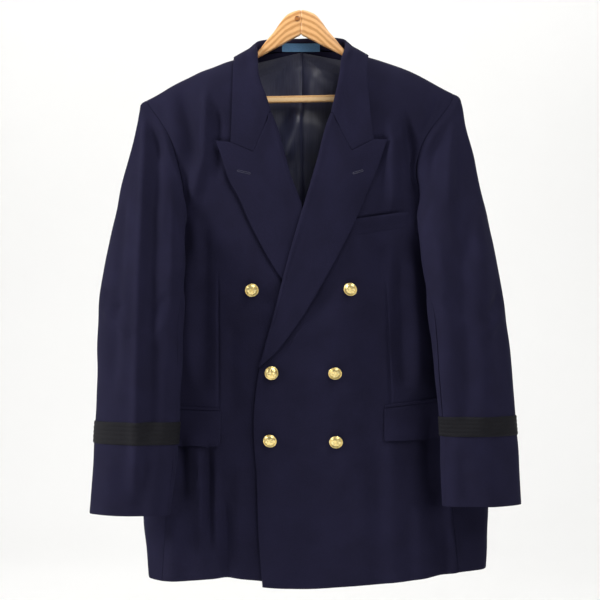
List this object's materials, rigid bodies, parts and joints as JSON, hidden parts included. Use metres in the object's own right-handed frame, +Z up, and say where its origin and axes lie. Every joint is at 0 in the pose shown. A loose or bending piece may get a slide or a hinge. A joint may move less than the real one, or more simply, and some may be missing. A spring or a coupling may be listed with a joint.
{
  "type": "double-breasted blazer on a wooden hanger",
  "caption": "Double-breasted wool blazer with peaked lapels, flap pockets, gilt buttons and braided sleeves, hanging open and hollow on a wooden hanger held by a wall peg.",
  "frame": {"origin": "on the wall peg's axis, in the plane of the wooden hanger, where the hanger hangs", "axes": "+Z up, +X to the wearer's left, +Y towards the wall"},
  "size_m": [0.6249, 0.1541, 0.8474],
  "materials": {
    "navy_wool": "matt worsted twill",
    "lining_satin": "satin",
    "black_braid": "ribbed braid",
    "label_cloth": "woven, blank",
    "gilt_brass": "polished gilt",
    "hanger_wood": "satin varnish",
    "peg_wood": "plain"
  },
  "bodies": {
    "root": {"front_left": "navy_wool", "front_right": "navy_wool", "side_left": "navy_wool", "side_right": "navy_wool", "back_left": "navy_wool", "back_right": "navy_wool", "lapel_left": "navy_wool", "lapel_right": "navy_wool", "collar": "navy_wool", "top_sleeve_left": "navy_wool", "top_sleeve_right": "navy_wool", "under_sleeve_left": "navy_wool", "under_sleeve_right": "navy_wool", "sleeve_braid_left": "black_braid", "sleeve_braid_right": "black_braid", "pocket_jetting_left": "navy_wool", "pocket_jetting_right": "navy_wool", "pocket_flap_left": "navy_wool", "pocket_flap_right": "navy_wool", "breast_welt": "navy_wool", "button_1": "gilt_brass", "button_2": "gilt_brass", "button_3": "gilt_brass", "button_4": "gilt_brass", "button_5": "gilt_brass", "button_6": "gilt_brass", "back_lining_left": "lining_satin", "back_lining_right": "lining_satin", "neck_label": "label_cloth", "hanger_arm_left": "hanger_wood", "hanger_arm_right": "hanger_wood", "hanger_bar": "hanger_wood", "wall_peg": "peg_wood"}
  },
  "joints": []
}
